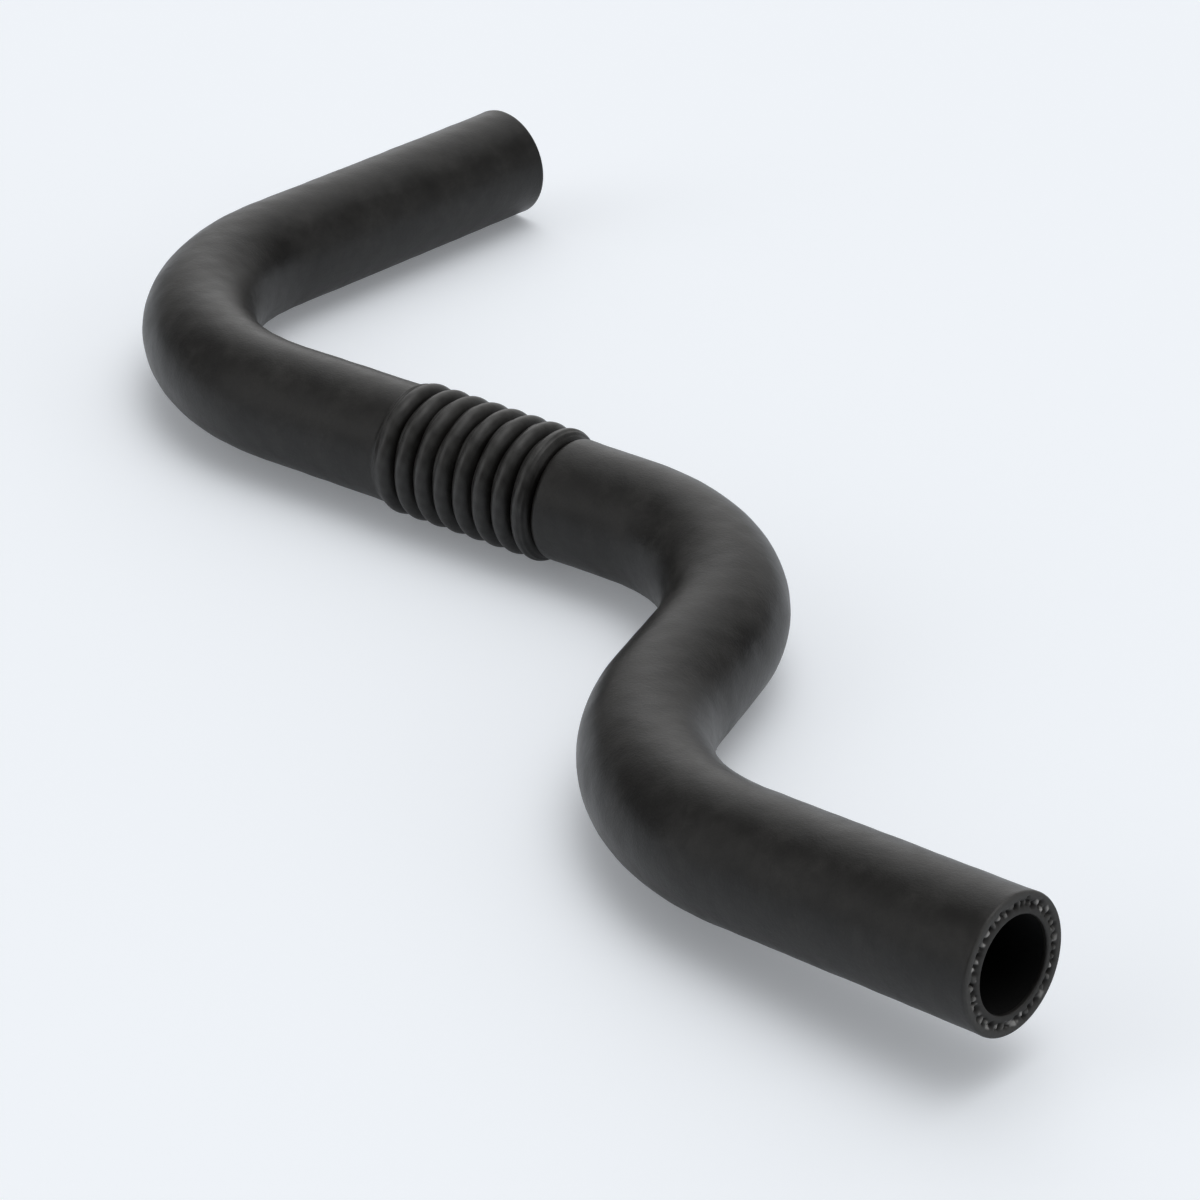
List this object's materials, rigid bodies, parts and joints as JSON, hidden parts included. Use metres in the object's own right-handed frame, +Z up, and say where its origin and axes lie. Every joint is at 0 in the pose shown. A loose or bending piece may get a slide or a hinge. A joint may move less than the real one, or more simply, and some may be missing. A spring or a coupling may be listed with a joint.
{
  "type": "heater hose",
  "caption": "Moulded black rubber heater hose: a bent tube with a ribbed flexible stretch in its middle run and square-cut open ends that push onto coolant pipes.",
  "frame": {"origin": "on the surface that the hose lies on, under the middle of its bounding box", "axes": "+Z up; +X along the middle run, from the bend of the far run towards the bends of the front run; +Y from the front run towards the far end"},
  "size_m": [0.2768, 0.2244, 0.0309],
  "materials": {
    "black_rubber": "matt"
  },
  "bodies": {
    "root": {"heater_hose": "black_rubber"}
  },
  "joints": []
}
